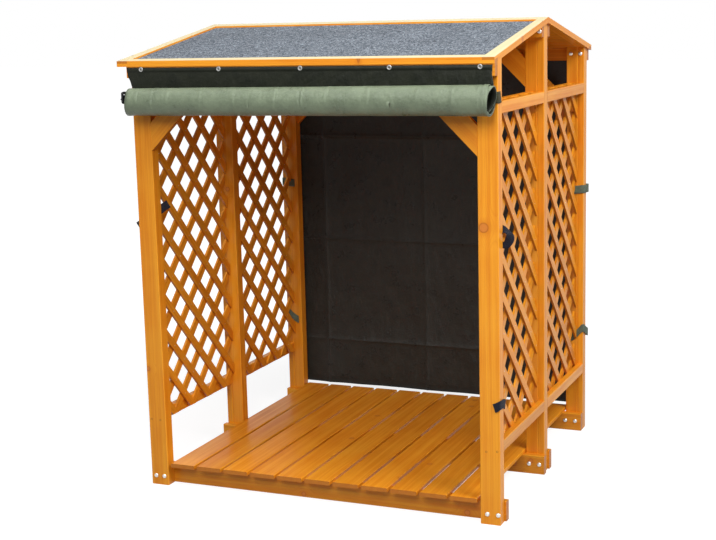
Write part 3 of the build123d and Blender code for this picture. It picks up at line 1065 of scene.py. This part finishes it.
def post_straps(black):
    """Webbing on the front posts and on the rear ones."""
    routes = {
        "right_upper": front_strap_right_upper(), "right_lower": front_strap_right_lower(),
        "left_upper": front_strap_left(-32, 961, 26, 17.2, 6, (-0.55, 0, 0.83)),
        "left_lower": front_strap_left(-14, 330, 18, 24, 4, (-0.8, 0, 0.6)),
    }
    for name, route in routes.items():
        post = "front_post_" + name.split("_")[0]
        made = strap("front_strap_" + name, route, STRAP_WIDTH, black)
        if name == "right_upper":
            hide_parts("front_post_straps")
    green = webbing_material("webbing_green", (0.06, 0.08, 0.055), (0.20, 0.25, 0.18))
    for side, word in ((1, "right"), (-1, "left")):
        for place, form in REAR_STRAPS.items():
            made = strap("rear_strap_" + word + "_" + place, rear_strap(side, *form), GREEN_STRAP_WIDTH,
                         green)
            if word == "right" and place == "upper":
                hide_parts("rear_post_straps")


def roll_straps(black):
    """Webbing at the ends of the roll, with the buckle."""
    olive = webbing_material("webbing_olive", (0.022, 0.022, 0.010), (0.085, 0.078, 0.036))
    x, z = HALF, 1430
    route = [((x - 45, -4, z), UP), ((x - 12, -3, z), UP), ((x - 1, -3, z), UP), ((x + 3, 5, z), UP),
             ((x + 3, 14, z), UP), ((x + 3, 23, z + 1), (0, -0.3, 1))]
    strap("roll_strap_right", route, 37.0, olive)
    y, z = ROLL_Y, ROLL_Z + 6
    route = [((-HALF + 55, y + 4, z - 12), UP), ((-HALF + 25, y + 2, z - 6), UP),
             ((-HALF + 6, y, z - 1), (0.3, 0, 1)), ((-HALF + 1, y, z + 3), (0.7, 0, 0.7))]
    strap("roll_strap_left", route, 22.0, black)
    buckle(-HALF + 9, y, z + 1)


def rod(path, radius, closed, sides=10):
    """Points and faces of a round bar along a path that keeps its X."""
    path = [Vector(p) for p in path]
    count = len(path)
    points = []
    for i, centre in enumerate(path):
        last, following = (i - 1, (i + 1) % count) if closed else (max(i - 1, 0), min(i + 1, count - 1))
        across = (path[following] - path[last]).normalized().cross(X)
        for j in range(sides):
            turn = 2 * math.pi * j / sides
            points.append(centre + X * radius * math.cos(turn) + across * radius * math.sin(turn))
    return points, [face[:1] + face[:0:-1] for face in tube(count, sides, closed)]


def buckle(x, y, z):
    """Plastic strap buckle at the roll's left end: a rounded frame with a middle bar."""
    half_wide, half_tall, corner, radius = 7.0, 13.0, 4.0, 4.6
    bar, outline = half_wide + corner, []
    for k, (sy, sz) in enumerate(((1, 1), (-1, 1), (-1, -1), (1, -1))):
        for step in range(4):
            turn = math.pi / 2 * (k + step / 3)
            outline.append((x, y + sy * half_wide + corner * math.cos(turn),
                            z + sz * half_tall + corner * math.sin(turn)))
    middle = [(x, y + d, z) for d in (-bar, 0, bar)]
    points, faces = joined([rod(outline, radius, True), rod(middle, radius * 0.8, False)])
    piece("roll_buckle", points, faces, plastic_material())


# Light, floor and camera

CAMERA_PLACE = (2010.3, -4299.4, 1702.1)
CAMERA_TURN = math.radians(23.08)
CAMERA_DIP = math.radians(10.339)
CAMERA_ROLL = math.radians(-1.423)
CAMERA_LENS = 70.59
WORLD_LIGHT = 0.16
# Glow of the ground near the store, and the distances in metres between which it grows to full white
FLOOR_GLOW, GLOW_START, GLOW_END = 0.82, 1.2, 3.5
FLOOR_HALF = 40.0


def camera():
    """Camera at the photograph's viewing angle."""
    ahead = Vector((-math.sin(CAMERA_TURN) * math.cos(CAMERA_DIP),
                    math.cos(CAMERA_TURN) * math.cos(CAMERA_DIP), -math.sin(CAMERA_DIP)))
    right = Vector((math.cos(CAMERA_TURN), math.sin(CAMERA_TURN), 0))
    up = right.cross(ahead)
    level = math.cos(CAMERA_ROLL) * right + math.sin(CAMERA_ROLL) * up
    rise = -math.sin(CAMERA_ROLL) * right + math.cos(CAMERA_ROLL) * up
    data = bpy.data.cameras.new("camera")
    data.lens = CAMERA_LENS
    made = placed("camera", data)
    turn = Matrix((level, rise, -ahead)).transposed()
    made.matrix_world = Matrix.Translation(at(*CAMERA_PLACE)) @ turn.to_4x4()
    scene.camera = made


def lamp(name, place, target, size, power):
    """Soft rectangular lamp."""
    data = bpy.data.lights.new(name, "AREA")
    data.shape = "SQUARE"
    data.size = size
    data.energy = power
    made = placed(name, data)
    made.location = place
    made.rotation_euler = (Vector(target) - Vector(place)).to_track_quat("-Z", "Y").to_euler()


def world():
    """White surroundings, seen at full white and lighting at a plain level."""
    made = bpy.data.worlds.new("surroundings")
    scene.world = made
    g = Graph(made)
    strength = g.node("MapRange", {0: g.seen(), 3: WORLD_LIGHT, 4: 1.0}).outputs[0]
    background = g.node("Background", {0: (1, 1, 1, 1), 1: strength}).outputs[0]
    g.node("OutputWorld", {0: background})


def floor():
    """Plain pale ground that keeps a soft shadow."""
    g = Surface("ground", Base_Color=(0.32, 0.32, 0.32, 1), Roughness=0.95, Specular_IOR_Level=0.0,
                Emission_Color=(1, 1, 1, 1))
    distance = g.node("VectorMath", {0: g.position()}, operation="LENGTH").outputs["Value"]
    white = g.fit(distance, GLOW_START, GLOW_END, FLOOR_GLOW, 1.0)
    g.plug(g.times(g.seen(), white), g.shader.inputs["Emission Strength"])
    mesh = bpy.data.meshes.new("ground")
    corners = [(x * FLOOR_HALF, y * FLOOR_HALF, 0) for x, y in ((-1, -1), (1, -1), (1, 1), (-1, 1))]
    mesh.from_pydata(corners, [], [(0, 1, 2, 3)])
    mesh.materials.append(g.material)
    placed("ground", mesh)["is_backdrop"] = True


posts()
bearers_and_beams()
floor_boards()
rails()
braces()
lattice()
roof_timber()
dress("roof_felt", felt_material())
roof_boards("roof_boards_front", 210.0)
roof_boards("roof_boards_rear", 220.0)
pale = tarpaulin_material("pale", **PALE_CLOTH)
front_tarpaulin((pale, tarpaulin_material("dark", **DARK_CLOTH)))
# The rear tarpaulin's inner face gets the lighter copy with painted bounce light
rear_tarpaulin((pale, tarpaulin_material("inside", **BOUNCE_LIT_INSIDE_CLOTH)))
fixings()
black_webbing = webbing_material("webbing_black", (0.003, 0.004, 0.008), (0.012, 0.014, 0.030))
post_straps(black_webbing)
roll_straps(black_webbing)

camera()
world()
floor()
lamp("top", (-0.6, -1.4, 4.7), (0, 0, 1.0), 2.0, 68.0)
lamp("front", (1.1, -4.5, 3.8), (0, 0, 0.8), 2.4, 172.0)
lamp("right", (3.9, -1.4, 4.3), (0, 0, 0.9), 2.2, 214.0)
scene.view_settings.view_transform = "Standard"

visual_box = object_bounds()
boxes = {"cad": cad_box, "visual": visual_box}
{name: [list(corner) for corner in box] for name, box in boxes.items()}
